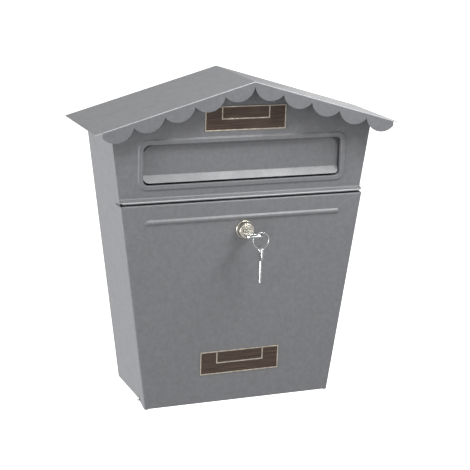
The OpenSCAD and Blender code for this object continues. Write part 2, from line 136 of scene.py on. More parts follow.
def rounded(points, radius, steps=6, closed=False):
    """The polyline with each corner turned into an arc; radius is one number, or one for each point."""
    drawn = []
    for i, point in enumerate(points):
        r = radius[i] if isinstance(radius, (list, tuple)) else radius
        p = Vector(point)
        if r == 0 or (not closed and i in (0, len(points) - 1)):
            drawn.append(tuple(p))
            continue
        back = (Vector(points[i - 1]) - p).normalized()
        ahead = (Vector(points[(i + 1) % len(points)]) - p).normalized()
        half = back.angle(ahead) / 2
        centre = p + (back + ahead).normalized() * (r / math.sin(half))
        a = p + back * (r / math.tan(half)) - centre
        b = p + ahead * (r / math.tan(half)) - centre
        start = math.atan2(a.y, a.x)
        sweep = math.atan2(a.x * b.y - a.y * b.x, a.dot(b))
        for k in range(steps + 1):
            turn = start + sweep * k / steps
            drawn.append((centre.x + r * math.cos(turn), centre.y + r * math.sin(turn)))
    return drawn


def circle(x, y, r, steps=32):
    """Points round a circle, anticlockwise from its right."""
    turns = [FULL_TURN * k / steps for k in range(steps)]
    return [(x + r * math.cos(t), y + r * math.sin(t)) for t in turns]


def rectangle(left, right, low, high, corner=0.0, steps=6):
    """A rectangle with round corners."""
    return rounded([(left, low), (right, low), (right, high), (left, high)], corner, steps, True)


def mirrored(right_side):
    """A closed outline from its right side, listed from the bottom up."""
    left_side = [(-x, y) for x, y in reversed(right_side) if abs(x) > 1e-9]
    return right_side + left_side


def inside(point, loop):
    """True if the 2D point is within the closed loop."""
    crossed = False
    for (x1, y1), (x2, y2) in zip(loop, loop[1:] + loop[:1]):
        if (y1 > point[1]) != (y2 > point[1]):
            if point[0] < x1 + (point[1] - y1) * (x2 - x1) / (y2 - y1):
                crossed = not crossed
    return crossed


def smooth_step(share):
    """From 0 to 1 with level ends."""
    share = min(1.0, max(0.0, share))
    return share * share * (3 - 2 * share)


# ---- 3D building ----


class Surface:
    """Patches drawn in millimetres, welded into one mesh where their edges meet."""

    def __init__(self):
        self.bm = bmesh.new()

    def row(self, points):
        """New vertices at the drawing points."""
        return [self.bm.verts.new(at(*p)) for p in points]

    def grid(self, rows, closed=False, joined=False):
        """Quads between rows of points; closed rows are loops, and joined rows meet end to end."""
        lines = [self.row(points) for points in rows]
        pairs = list(zip(lines, lines[1:]))
        if joined:
            pairs.append((lines[-1], lines[0]))
        for a, b in pairs:
            count = len(a)
            for i in range(count if closed else count - 1):
                j = (i + 1) % count
                self.bm.faces.new((a[i], a[j], b[j], b[i]))

    def cap(self, points):
        """One flat face."""
        self.bm.faces.new(self.row(points))

    def fill(self, outline, holes, lay):
        """The outline less its holes, as triangles; lay turns a 2D point into a drawing point."""
        points, edges = [], []
        for loop in (outline, *holes):
            first = len(points)
            points += [Vector(p) for p in loop]
            edges += [(first + i, first + (i + 1) % len(loop)) for i in range(len(loop))]
        made = delaunay_2d_cdt(points, edges, [], 0, 1e-5)
        verts = self.row([lay(*c) for c in made[0]])
        for corners in made[2]:
            middle = sum((made[0][i] for i in corners), Vector((0, 0))) / len(corners)
            if inside(middle, outline) and not any(inside(middle, hole) for hole in holes):
                self.bm.faces.new([verts[i] for i in corners])

    def revolve(self, profile, place, steps=64, closed=True):
        """Turns a profile of (along, radius) round an axis; place gives the drawing point."""
        turns = [FULL_TURN * k / steps for k in range(steps)]
        rows = [
            [place(along, r * math.cos(t), r * math.sin(t)) for t in turns]
            for along, r in profile
        ]
        self.grid(rows, closed=True, joined=closed)

    def plate(self, outline, holes, low, high, lay, soften=0.2):
        """A closed flat plate between two levels, with softened edges; lay takes (u, v, level)."""
        layers = [(soften, low), (0, low + soften), (0, high - soften), (soften, high)]
        for loop, sign in [(outline, 1)] + [(hole, -1) for hole in holes]:
            rows = [
                [lay(u, v, level) for u, v in inset(loop, sign * edge)]
                for edge, level in layers
            ]
            self.grid(rows, closed=True)
        for level in (low, high):
            self.fill(
                inset(outline, soften),
                [inset(hole, -soften) for hole in holes],
                lambda u, v, level=level: lay(u, v, level),
            )


def inset(loop, distance):
    """The closed anticlockwise loop moved inwards by a small distance."""
    if distance == 0:
        return list(loop)
    moved = []
    for i, point in enumerate(loop):
        p = Vector(point)
        before = (p - Vector(loop[i - 1])).normalized()
        after = (Vector(loop[(i + 1) % len(loop)]) - p).normalized()
        normal = Vector((-before.y - after.y, before.x + after.x)).normalized()
        lean = max(0.5, normal.dot(Vector((-after.y, after.x))))
        moved.append(tuple(p + normal * (distance / lean)))
    return moved


def soften_edges(obj, width, segments=2, limit=40):
    """A small bevel on the sharp edges, with normals that keep flat faces flat."""
    bevel = obj.modifiers.new("softened_edges", "BEVEL")
    bevel.width = width * MM
    bevel.segments = segments
    bevel.limit_method = "ANGLE"
    bevel.angle_limit = math.radians(limit)
    bevel.use_clamp_overlap = True
    normals = obj.modifiers.new("flat_faces", "WEIGHTED_NORMAL")
    normals.keep_sharp = True


def piece(name, surface, material, body, replaces=(), thickness=0.0, outward=None,
          soften=0.2, smooth=40):
    """Makes the object. An open sheet gets its thickness behind the side that faces outward."""
    bm = surface.bm
    bmesh.ops.remove_doubles(bm, verts=bm.verts, dist=0.02 * MM)
    loose = [v for v in bm.verts if not v.link_faces]
    bmesh.ops.delete(bm, geom=loose, context="VERTS")
    bmesh.ops.recalc_face_normals(bm, faces=bm.faces)
    if outward is not None:
        largest = max(bm.faces, key=lambda f: f.calc_area())
        if largest.normal.dot(Vector(outward)) < 0:
            bmesh.ops.reverse_faces(bm, faces=bm.faces)
    mesh = bpy.data.meshes.new(name)
    bm.to_mesh(mesh)
    bm.free()
    mesh.polygons.foreach_set("use_smooth", [True] * len(mesh.polygons))
    mesh.set_sharp_from_angle(angle=math.radians(smooth))
    mesh.materials.append(material)
    obj = bpy.data.objects.new(name, mesh)
    bpy.context.scene.collection.objects.link(obj)
    if thickness:
        solid = obj.modifiers.new("sheet_thickness", "SOLIDIFY")
        solid.thickness = thickness * MM
        solid.offset = -1
        solid.use_even_offset = True
    if soften:
        soften_edges(obj, soften)
    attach(obj, body)
    if replaces:
        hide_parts(*replaces)
    return obj


# ---- materials ----


class Nodes:
    """A short way to wire a material's nodes."""

    def __init__(self, name):
        self.material = bpy.data.materials.new(name)
        self.material.use_nodes = True
        self.tree = self.material.node_tree
        self.shader = self.tree.nodes["Principled BSDF"]
        self.place = self.tree.nodes.new("ShaderNodeTexCoord").outputs["Object"]

    def add(self, kind, **values):
        """A new node with its settings."""
        node = self.tree.nodes.new(kind)
        for key, value in values.items():
            setattr(node, key, value)
        return node

    def link(self, output, node, socket):
        """Wires an output into a node's socket."""
        self.tree.links.new(output, node.inputs[socket])

    def noise(self, scale, detail=3.0, stretch=None, roughness=0.5):
        """Noise with so many features a metre, and a stretch for each axis."""
        place = self.place
        if stretch:
            mapping = self.add("ShaderNodeMapping")
            mapping.inputs["Scale"].default_value = stretch
            self.link(place, mapping, "Vector")
            place = mapping.outputs["Vector"]
        node = self.add("ShaderNodeTexNoise")
        node.inputs["Scale"].default_value = scale
        node.inputs["Detail"].default_value = detail
        node.inputs["Roughness"].default_value = roughness
        self.link(place, node, "Vector")
        return node.outputs["Fac"]

    def spread(self, value, from_low, from_high, to_low, to_high):
        """Maps a value from one range to another, and keeps it there."""
        node = self.add("ShaderNodeMapRange")
        bounds = (from_low, from_high, to_low, to_high)
        for socket, number in zip(("From Min", "From Max", "To Min", "To Max"), bounds):
            node.inputs[socket].default_value = number
        self.link(value, node, "Value")
        return node.outputs["Result"]

    def mix(self, amount, a, b):
        """Colour a where the amount is 0, colour b where it is 1; either may be a socket."""
        node = self.add("ShaderNodeMix", data_type="RGBA")
        self.link(amount, node, "Factor")
        for index, colour in ((6, a), (7, b)):
            if isinstance(colour, tuple):
                node.inputs[index].default_value = (*colour, 1.0)
            else:
                self.tree.links.new(colour, node.inputs[index])
        return node.outputs[2]

    def bump(self, layers):
        """Stacks bumps, each a (height, strength, depth in mm)."""
        last = None
        for height, strength, depth in layers:
            node = self.add("ShaderNodeBump")
            node.inputs["Strength"].default_value = strength
            node.inputs["Distance"].default_value = depth * MM
            self.link(height, node, "Height")
            if last is not None:
                self.link(last, node, "Normal")
            last = node.outputs["Normal"]
        self.link(last, self.shader, "Normal")


def powder_paint(name, tone):
    """Satin powder coat: finely mottled grey with a slight orange peel."""
    n = Nodes(name)
    dark, pale, deep = (tuple(c * k for c in tone) for k in (0.90, 1.08, 0.84))
    colour = n.mix(n.spread(n.noise(190, 5, roughness=0.65), 0.32, 0.68, 0, 1), dark, pale)
    speck = n.spread(n.noise(900, 2), 0.5, 0.75, 0, 0.6)
    n.link(n.mix(speck, colour, deep), n.shader, "Base Color")
    n.link(n.spread(n.noise(60, 3), 0.3, 0.7, 0.33, 0.40), n.shader, "Roughness")
    n.bump([(n.noise(650, 2), 0.30, 0.05), (n.noise(45, 2), 0.08, 0.2)])
    return n.material


def plated_steel(name, tone, tint, rough, scratch):
    """Plated metal with clouded plating and fine drawn scratches along x."""
    n = Nodes(name)
    clouds = n.spread(n.noise(120, 4), 0.35, 0.7, 0, 1)
    n.link(n.mix(clouds, tone, tint), n.shader, "Base Color")
    n.shader.inputs["Metallic"].default_value = 1.0
    lines = n.noise(1500, 3, stretch=(0.05, 1, 1))
    n.link(n.spread(lines, 0.3, 0.7, rough, rough + 0.12), n.shader, "Roughness")
    n.bump([(lines, scratch, 0.02), (n.noise(400, 2), 0.1, 0.03)])
    return n.material


def plaque_metal(name):
    """Dark brown plate with fine brushed lines along its length."""
    n = Nodes(name)
    lines = n.noise(900, 4, stretch=(0.04, 1, 1))
    streaks = n.mix(n.spread(lines, 0.35, 0.7, 0, 1), (0.055, 0.034, 0.027), (0.125, 0.085, 0.066))
    clouds = n.spread(n.noise(70, 3), 0.35, 0.7, 0, 0.6)
    n.link(n.mix(clouds, streaks, (0.085, 0.062, 0.047)), n.shader, "Base Color")
    n.shader.inputs["Metallic"].default_value = 0.45
    n.link(n.spread(lines, 0.3, 0.7, 0.34, 0.5), n.shader, "Roughness")
    n.bump([(lines, 0.25, 0.03)])
    return n.material


def border_metal(name):
    """Worn pale metal of the raised border lines."""
    n = Nodes(name)
    clouds = n.spread(n.noise(220, 3), 0.3, 0.7, 0, 1)
    n.link(n.mix(clouds, (0.42, 0.37, 0.30), (0.68, 0.62, 0.52)), n.shader, "Base Color")
    n.shader.inputs["Metallic"].default_value = 0.6
    n.link(n.spread(n.noise(500, 2), 0.3, 0.7, 0.3, 0.45), n.shader, "Roughness")
    n.bump([(n.noise(900, 2), 0.15, 0.02)])
    return n.material


def floor_paint(name):
    """Plain pale studio floor, lit from within so that it stays white."""
    n = Nodes(name)
    clouds = n.spread(n.noise(2, 2), 0.3, 0.7, 0, 1)
    n.link(n.mix(clouds, (0.93, 0.93, 0.93), (0.95, 0.95, 0.95)), n.shader, "Base Color")
    n.shader.inputs["Roughness"].default_value = 0.9
    n.shader.inputs["Emission Color"].default_value = (1.0, 1.0, 1.0, 1.0)
    n.shader.inputs["Emission Strength"].default_value = 0.9
    return n.material


PAINT = powder_paint("grey_powder_coat", (0.185, 0.188, 0.198))
# Much paler paint, used as a painted highlight on bends that catch the overhead light.
HIGHLIGHT_PAINT = powder_paint("painted_highlight_coat", (0.46, 0.465, 0.48))
ZINC = plated_steel("zinc_plating", (0.62, 0.63, 0.65), (0.70, 0.70, 0.66), 0.32, 0.35)
CHROME = plated_steel("bright_chrome", (0.74, 0.76, 0.75), (0.60, 0.63, 0.62), 0.15, 0.12)
NICKEL = plated_steel("warm_nickel", (0.86, 0.82, 0.74), (0.70, 0.64, 0.54), 0.14, 0.15)
BROWN = plaque_metal("brown_plaque")
BRASS = border_metal("pale_brass_border")


def paint_highlight(obj, is_highlit):
    """Paints a highlight: gives the paler paint to the faces for whose middle (x, depth, height) the given
    test is true.
    """
    obj.data.materials.append(HIGHLIGHT_PAINT)
    for face in obj.data.polygons:
        x, depth, height = face.center.x / MM, -face.center.y / MM, (face.center.z - BASE) / MM
        if is_highlit(x, depth, height):
            face.material_index = 1


# ---- roof ----


def roof():
    """Two slopes, folded along the front into a valance with a scalloped edge."""
    valance_half, cusp_drop, sag, scallops = 174.5, 6.0, 11.0, 5
    fold_r, ridge_r, arc_steps, bend_steps, end_margin = 1.2, 3.0, 18, 7, 0.8
    front = ROOF.front
    chord = valance_half / PITCH_COS / scallops
    scallop_r = chord * chord / (8 * sag) + sag / 2
    widest = math.asin(chord / 2 / scallop_r)

    def slope(x):
        run = ridge_r * PITCH_SIN
        if abs(x) < run:
            return ROOF.high - ridge_r / PITCH_COS + math.sqrt(ridge_r**2 - x * x)
        return ROOF.high - PITCH * abs(x)

    edge = []
    for scallop in range(scallops):
        for step in range(arc_steps):
            turn = widest * (2 * step / arc_steps - 1)
            along = (scallop + 0.5) * chord + scallop_r * math.sin(turn)
            below = scallop_r * math.cos(turn) - scallop_r + sag
            x = along * PITCH_COS - below * PITCH_SIN
            edge.append((x, cusp_drop + along * PITCH_SIN + below * PITCH_COS - PITCH * x))
    edge.append((valance_half, cusp_drop))
    edge[0] = (0.0, cusp_drop)
    first, second = edge[0], edge[1]
    near = [ridge_r * PITCH_SIN * k / 3 for k in (1, 2, 3)]
    grown = [(x, first[1] + (second[1] - first[1]) * x / second[0]) for x in near]
    edge[1:1] = [point for point in grown if point[0] < second[0]]
    columns = [(-x, drop) for x, drop in reversed(edge[1:])] + edge

    depths = [0.0, 30.0, 60.0, 90.0, front - fold_r]
    surface = Surface()
    rows = []
    for x, drop in columns:
        top = slope(x)
        line = [(x, depth, top) for depth in depths]
        for k in range(1, bend_steps + 1):
            turn = HALF_TURN / 2 * k / bend_steps
            lowered = fold_r * (1 - math.cos(turn)) / PITCH_COS
            line.append((x, front - fold_r + fold_r * math.sin(turn), top - lowered))
        start = fold_r / PITCH_COS
        base = ROOF.high - PITCH * abs(x)
        for share in (0.35, 0.7, 1.0):
            line.append((x, front, top + (base - drop - top + start) * share - start))
        rows.append(line)
    surface.grid(rows)
    for side in (-1, 1):
        ends = [side * x for x in (valance_half, valance_half + end_margin, ROOF.right)]
        surface.grid([[(x, depth, slope(x)) for depth in depths] for x in ends])
        surface.grid([[(x, depth, slope(x)) for depth in (depths[-1], front)] for x in ends[1:]])
    sheet = piece("roof_sheet", surface, PAINT, "box", ["roof"], SHEET, (0, 0, 1), 0.18)
    # Painted highlight: paler paint along the front fold, where the bend catches the light.
    paint_highlight(sheet, lambda x, depth, height: depth > front - 0.8 * fold_r and height > slope(x) - 0.5 * fold_r)


# ---- front panel ----

SLOT_HALF, SLOT_LOW, SLOT_HIGH, SLOT_CORNER = 120.5, 263.0, 308.5, 7.0
LIP_BEND = 251.0


def slot_loop(grow):
    """Round-cornered loop that stands a distance outside the letter slot."""
    corner = SLOT_CORNER + grow * 0.6
    return rectangle(-SLOT_HALF - grow, SLOT_HALF + grow, SLOT_LOW - grow, SLOT_HIGH + grow, corner, 8)


def front_panel():
    """Gable, pressed frame round the slot with its edge turned in, and the drip lip."""
    margin, rise, slope_width, turn_r = 6.8, 1.5, 2.4, 1.1
    rim_back, shorter_above, steps = 92.3, 3.4, 6
    lip_front, lip_corner = DOOR_FACE - 0.1, 3.0
    lip_narrow, lip_full = half_at(LIP_BEND) - WELD_GAP, half_at(DOOR.high) + DOOR_GAP
    widen_from, widen_over = 1.5, 3.0
    surface = Surface()

    bend = rounded([(BODY_DEPTH, LIP_BEND), (BODY_DEPTH, 248.4), (lip_front, 245.9)], [0, 2.2, 0], 5)
    start, tip = Vector(bend[-2]), (lip_front - 0.25, 246.0)
    slope = [tuple(start.lerp(Vector(tip), share)) for share in (0.3, 0.5, 0.65, 0.78, 0.88, 0.95, 1.0)]
    lip_profile = bend[:-1] + slope + [(lip_front, 245.6), (lip_front, 245.1), (lip_front, 244.2)]
    columns = [-1, -0.9, -0.5, 0, 0.5, 0.9, 1]

    def lip_half(depth):
        share = smooth_step((depth - BODY_DEPTH - widen_from) / widen_over)
        half = lip_narrow * (1 - share) + lip_full * share
        over = min(1.0, max(0.0, (depth - lip_front + lip_corner) / lip_corner))
        return half - lip_corner * (1 - math.sqrt(1 - over * over))

    surface.grid([[(c * lip_half(d), d, h) for c in columns] for d, h in lip_profile])

    right = [(c * lip_narrow, LIP_BEND) for c in columns if c > 0]
    right += [(half_at(SIDE_TOP) - WELD_GAP, SIDE_TOP), (0.0, ROOF_UNDER)]
    outline = mirrored([(0.0, LIP_BEND)] + right)

    surface.fill(outline, [slot_loop(margin)], lambda x, h: (x, BODY_DEPTH, h))
    top = BODY_DEPTH + rise
    levels = [(margin - slope_width * k / steps, BODY_DEPTH + rise * smooth_step(k / steps))
              for k in range(steps + 1)]
    for k in range(steps + 1):
        turn = HALF_TURN / 2 * k / steps
        levels.append((turn_r * (1 - math.sin(turn)), top - turn_r * (1 - math.cos(turn))))
    rows = [[(x, depth, h) for x, h in slot_loop(grow)] for grow, depth in levels]
    rows.append([(x, rim_back + shorter_above * smooth_step((h - SLOT_HIGH + SLOT_CORNER) / 4), h)
                 for x, h in slot_loop(0.0)])
    surface.grid(rows, closed=True)
    sheet = piece("front_panel_sheet", surface, PAINT, "box", ["front_panel"], SHEET,
                  (0, -1, 0), 0.15)
    # Painted highlight: paler paint along the drip lip's front edge, which catches the light.
    paint_highlight(sheet, lambda x, depth, height: depth > lip_front - 0.7 and height > 245.2)

    laps = Surface()
    for side in (-1, 1):
        back, front = SIDE_FRONT - LAP_WIDTH, SIDE_FRONT
        side_lap(laps, side, [(back, 262), (front, 262), (front, 328), (back, 326)])
        roof_lap(laps, side, back, front)
    piece("front_panel_laps", laps, PAINT, "box", soften=0)


def side_lap(surface, side, outline):
    """A welded flange inside one side; the outline holds (depth, height)."""
    surface.plate(outline, [], -2 * SHEET - WELD_GAP, -SHEET - WELD_GAP,
                  lambda d, h, level: (side * (half_at(h) + level), d, h), FINE)


def roof_lap(surface, side, back, front):
    """A welded flange under one slope of the roof."""
    drop, inner, outer = SHEET / PITCH_COS, 3, 140
    surface.plate(
        [(inner, back), (outer, back), (outer, front), (inner, front)], [], -drop - WELD_GAP, -WELD_GAP,
        lambda x, d, level: (side * x, d, ROOF_UNDER - PITCH * x + level), FINE)


# ---- side and back panels ----


def side_panel(side, name, node):
    """A leaning side with its hinge tab, its step under the lip and its folded front return."""
    fold_r, return_depth, return_width = 1.4, 97.0, 9.0
    low, high, tab_low, rivet_hole = 26.0, 238.0, 3.8, 1.65
    fold_at = return_depth - fold_r
    outline = [
        (SHEET, SIDE_BOTTOM), (HINGE_DEPTH - 5, SIDE_BOTTOM),
        (HINGE_DEPTH - 4, tab_low), (HINGE_DEPTH + 4, tab_low),
        (HINGE_DEPTH + 5, SIDE_BOTTOM), (return_depth, SIDE_BOTTOM),
        (return_depth, low - 1), (fold_at, low - 1),
        (fold_at, low), (fold_at, high), (fold_at, high + 1), (return_depth, high + 1),
        (return_depth, 243.0), (SIDE_FRONT, 245.0), (SIDE_FRONT, SIDE_TOP), (SHEET, SIDE_TOP)]
    surface = Surface()
    surface.fill(outline, [circle(HINGE_DEPTH, HINGE_HEIGHT, rivet_hole, 20)],
                 lambda d, h: (side * half_at(h), d, h))
    profile = rounded([(0, fold_at), (0, return_depth), (-return_width, return_depth)],
                      fold_r - 0.01, 6)
    rows = [[(side * (half_at(h) + out), depth, h) for h in (low, high)] for out, depth in profile]
    surface.grid(rows)
    piece(name, surface, PAINT, "box", [node], SHEET, (side, 0, 0), 0.15)


def back_panel():
    """Flat back with its four wall holes, and flanges welded inside the sides and roof."""
    hole_r, hole_x, hole_heights = 3.25, 90, (70, 230)
    back, front = SHEET, SHEET + LAP_WIDTH
    holes = [circle(x, h, hole_r, 32) for x in (-hole_x, hole_x) for h in hole_heights]
    right = [(half_at(h) - WELD_GAP, h) for h in (SIDE_BOTTOM, SIDE_TOP)]
    surface = Surface()
    surface.plate(mirrored([(0.0, SIDE_BOTTOM), *right, (0.0, ROOF_UNDER)]), holes, 0, SHEET,
                  lambda x, h, level: (x, level, h), FINE)
    for side in (-1, 1):
        side_lap(surface, side, [(back, 17), (front, 17), (front, 327), (back, 329)])
        roof_lap(surface, side, back, front)
    piece("back_panel_sheet", surface, PAINT, "box", ["back_panel"], soften=0)


# ---- letter flap ----


def letter_flap():
    """Plate on three rolled knuckles, its lower strip leaning forward as a finger lip."""
    half, face, top = FLAP.right, 90.2, 307.5
    rod_depth, rod_height, knuckle_r = (RODS.back + RODS.front) / 2, (RODS.low + RODS.high) / 2, 2.4
    fold, low, corner, knuckle_half = 275.5, FLAP.low, 6.0, 20.0
    roll, roll_steps, lip_steps = math.radians(300), 24, 8
    columns = [-1, -0.5, 0, 0.5, 1]
    middles = [-85.5, 0.0, 85.5]
    outline = [(c * half, fold) for c in columns]
    shoulder = rounded([(half, fold), (half, top), (0, top)], [0, 14, 0], 8)[1:-1]
    outline += shoulder
    for middle in reversed(middles):
        outline += [(middle + knuckle_half, top), (middle - knuckle_half, top)]
    outline += [(-x, h) for x, h in reversed(shoulder)]
    surface = Surface()
    surface.fill(outline, [], lambda x, h: (x, face, h))

    tip = FLAP.front - 0.05
    profile = rounded([(face, fold), (face, 273.4), (tip, low + 0.5)], [0, 1.8, 0], 6)
    last, end = Vector(profile[-2]), Vector(profile[-1])
    profile[-1:] = [tuple(last.lerp(end, k / lip_steps)) for k in range(1, lip_steps + 1)]

    def lip_half(height):
        rest = max(0.0, corner - (height - low - 0.5))
        return half - corner + math.sqrt(max(0.0, corner**2 - rest**2))

    surface.grid([[(c * lip_half(h), d, h) for c in columns] for d, h in profile])
    for middle in middles:
        rows = [(face, top), (face, rod_height)]
        for k in range(1, roll_steps + 1):
            turn = roll * k / roll_steps
            rows.append((rod_depth + knuckle_r * math.cos(turn), rod_height + knuckle_r * math.sin(turn)))
        surface.grid([[(middle + end, d, h) for end in (-knuckle_half, knuckle_half)] for d, h in rows])
    piece("letter_flap_sheet", surface, PAINT, "flap", ["letter_flap"], SHEET,
          (0, -1, 0), 0.15)


# ---- door ----


def door():
    """Pressed bead, folded edges all round, and flanges that reach back over the body."""
    fold_r, bend_steps = 2.0, 7
    bottom_half, bottom_back, top_back = 111.0, 78.0, 90.0
    edge_back, eye_r, lock_hole = 80.8, 3.2, 8.1
    top = DOOR.high
    top_half = half_at(top) - 2
    lean = math.cos(math.atan(TAPER))

    def edge_point(height, inward):
        """A point that lies inside the door's right edge by a distance."""
        return half_at(height) + DOOR_GAP - inward / lean, height

    bead_height, bead_half = 221.7, 119.5
    bead_levels = [(3.7, 0), (3.2, 0.1), (2.7, 0.42), (2.2, 0.95), (1.7, 1.42), (1.1, 1.8), (0.5, 1.97)]

    def bead_loop(width):
        reach = bead_half - 3.2 + width
        return rectangle(-reach, reach, bead_height - width, bead_height + width, width * 0.98, 8)

    right = [(bottom_half, fold_r), (bottom_half, 0.0)]
    right += [edge_point(h, fold_r) for h in (0.0, top)]
    right += [(top_half, top), (top_half, top - fold_r)]
    outline = mirrored(right)
    surface = Surface()
    surface.fill(outline, [bead_loop(bead_levels[0][0]), circle(0, LOCK_HEIGHT, lock_hole, 40)],
                 lambda x, h: (x, DOOR_FACE, h))
    rows = [[(x, DOOR_FACE + lift, h) for x, h in bead_loop(width)] for width, lift in bead_levels]
    surface.grid(rows, closed=True)
    surface.cap(rows[-1])

    # The edge leans, so its hole needs more room than the rivet's shaft and running clearance.
    rivet_hole = 1.85
    eye = [(HINGE_DEPTH + eye_r * math.cos(t), HINGE_HEIGHT + eye_r * math.sin(t))
           for t in (math.radians(a) for a in range(290, 179, -10))]
    fold_depth = DOOR_FACE - fold_r
    flange = [(fold_depth, top), (fold_depth, 0.0), *eye, (edge_back, top - 3), (edge_back + 3, top)]
    bends = [HALF_TURN / 2 * k / bend_steps for k in range(bend_steps + 1)]
    for side in (-1, 1):
        rows = []
        for turn in bends:
            depth = DOOR_FACE - fold_r * (1 - math.cos(turn))
            ends = [edge_point(h, fold_r * (1 - math.sin(turn))) for h in (0.0, top)]
            rows.append([(side * x, depth, h) for x, h in ends])
        surface.grid(rows)
        surface.fill(flange[::-1], [circle(HINGE_DEPTH, HINGE_HEIGHT, rivet_hole, 20)],
                     lambda d, h, side=side: (side * (half_at(h) + DOOR_GAP), d, h))

    for level, sign, half, back in ((0.0, 1, bottom_half, bottom_back), (top, -1, top_half, top_back)):
        rows = []
        for turn in bends:
            depth = DOOR_FACE - fold_r * (1 - math.cos(turn))
            height = level + sign * fold_r * (1 - math.sin(turn))
            rows.append([(end, depth, height) for end in (-half, half)])
        rows.append([(-half, back + 2, level), (half, back + 2, level)])
        rows.append([(-half + 2, back, level), (half - 2, back, level)])
        surface.grid(rows)
    piece("door_sheet", surface, PAINT, "door", ["door_panel"], SHEET, (0, -1, 0), 0.15)


# ---- plaques ----


def plaque(name, node, body, place):
    """A blank brown plate with raised pale borders; the inner one hangs from the top edge."""
    border, rise, plate_top, inner_half, inner_drop = 1.3, 0.3, 0.5, 29.2, 15.2
    half, low, high, back = place.right, place.low, place.high, place.back
    plate = Surface()
    plate.plate(rectangle(-half, half, low, high, 0.6, 3), [], back, back + plate_top,
                lambda x, h, depth: (x, depth, h), 0.12)
    piece(f"{name}_plate", plate, BROWN, body, [node], soften=0)

    face = back + plate_top - 0.02
    section = [(0.0, 0.0), (0.0, 0.12), (0.2, 0.25), (0.45, rise), (border - 0.45, rise),
               (border - 0.2, 0.25), (border, 0.12), (border, 0.0)]
    lines = Surface()
    rows = [[(x, face + lift, h) for x, h in
             rectangle(-half + u, half - u, low + u, high - u, 0.01, 1)] for u, lift in section]
    lines.grid(rows, closed=True, joined=True)
    top, bottom = high - border / 2, high - inner_drop
    rows = [[(-inner_half + u, face + lift, top), (-inner_half + u, face + lift, bottom + u),
             (inner_half - u, face + lift, bottom + u), (inner_half - u, face + lift, top)]
            for u, lift in section]
    lines.grid(rows, joined=True)
    for column in (0, -1):
        lines.cap([row[column] for row in rows])
    piece(f"{name}_border", lines, BRASS, body, soften=0)


# ---- lock ----


def on_lock(depth, across, up):
    """A point near the lock's axis."""
    return (across, depth, LOCK_HEIGHT + up)


def lock_barrel():
    """Threaded body behind the door, and a turned head with a flange in front of it."""
    back, front, bore = BARREL.back, BARREL.front, 6.06
    thread = []
    depth = back + 0.6
    while depth < DOOR_FACE - 1.6:
        thread += [(depth, 7.5), (depth + 0.5, 8.0)]
        depth += 1.0
    profile = [(back, bore), (back, 7.3), *thread, (DOOR_FACE - 0.6, 8.0), (DOOR_FACE, 8.0)]
    head = rounded(
        [(DOOR_FACE, 8.0), (DOOR_FACE, 10.3), (DOOR_FACE + 1.9, 10.3), (DOOR_FACE + 2.3, 9.4),
         (DOOR_FACE + 2.8, 9.4), (DOOR_FACE + 3.1, 9.7), (front - 0.1, 8.6), (front, 7.2),
         (front - 0.5, 6.8), (front - 0.5, bore)],
        [0, 0.3, 0.6, 0.15, 0.15, 0.15, 0.8, 0.2, 0.15, 0], 6)
    surface = Surface()
    surface.revolve(profile + head[1:], on_lock, 72)
    piece("lock_barrel_turned", surface, NICKEL, "door", ["lock_barrel"], soften=0,
          smooth=50)


def lock_plug():
    """Turning plug with its keyway, and the square stub that carries the cam."""
    front, back, r, keyway_end = PLUG.front, PLUG.back + 2.0, 6.0, 94.0
    way = rectangle(-4.5, 4.5, -1.3, 1.3, 0.5, 4)
    mouth = rectangle(-4.75, 4.75, -1.55, 1.55, 0.7, 4)
    surface = Surface()
    surface.fill(circle(0, 0, 5.5, 64), [mouth], lambda x, z: on_lock(front - 0.15, x, z))
    rings = [(front - 0.15, 5.5), (front - 0.25, 5.8), (front - 0.6, r), (back, r)]
    surface.revolve(rings, on_lock, 64, closed=False)
    surface.fill(circle(0, 0, r, 64), [], lambda x, z: on_lock(back, x, z))
    walls = [(mouth, front - 0.15), (way, front - 0.4), (way, keyway_end)]
    surface.grid([[on_lock(d, x, z) for x, z in loop] for loop, d in walls], closed=True)
    surface.fill(way, [], lambda x, z: on_lock(keyway_end, x, z))
    piece("lock_plug_turned", surface, NICKEL, "lock", ["lock_plug"], soften=0,
          smooth=30)
    stub = Surface()
    stub.plate(rectangle(-3, 3, -3, 3, 0.4, 3), [], PLUG.back, back + 0.5,
               lambda x, z, depth: on_lock(depth, x, z), 0.2)
    piece("lock_plug_stub", stub, NICKEL, "lock", soften=0)


# ---- keys and ring ----


def key_outline():
    """Right side up from the middle of the tip, round the bow, and down the left side."""
    blade, bow, shoulder, length = 4.0, 10.0, 27.0, 44.0
    right = [(0.0, 0.0)] + rounded([(2.0, 0.0), (blade, 0.6), (blade, 3.0)], [0, 1.2, 0], 4)
    for middle, cut in ((5.0, 1.6), (9.5, 2.4), (14.0, 1.2)):
        right += [(blade, middle - cut), (blade - cut, middle - 0.25), (blade - cut, middle + 0.25),
                  (blade, middle + cut)]
    bow_side = rounded([(blade, shoulder), (bow, shoulder), (bow, length), (0.0, length)],
                       [0, 6, 6, 0], 8)
    right += bow_side
    left = [(-x, y) for x, y in reversed(bow_side[:-1])]
    left += [(-x, y) for x, y in reversed(rounded([(2.0, 0.0), (blade, 0.6), (blade, 3.0)],
                                                  [0, 1.2, 0], 4))]
    return right + left


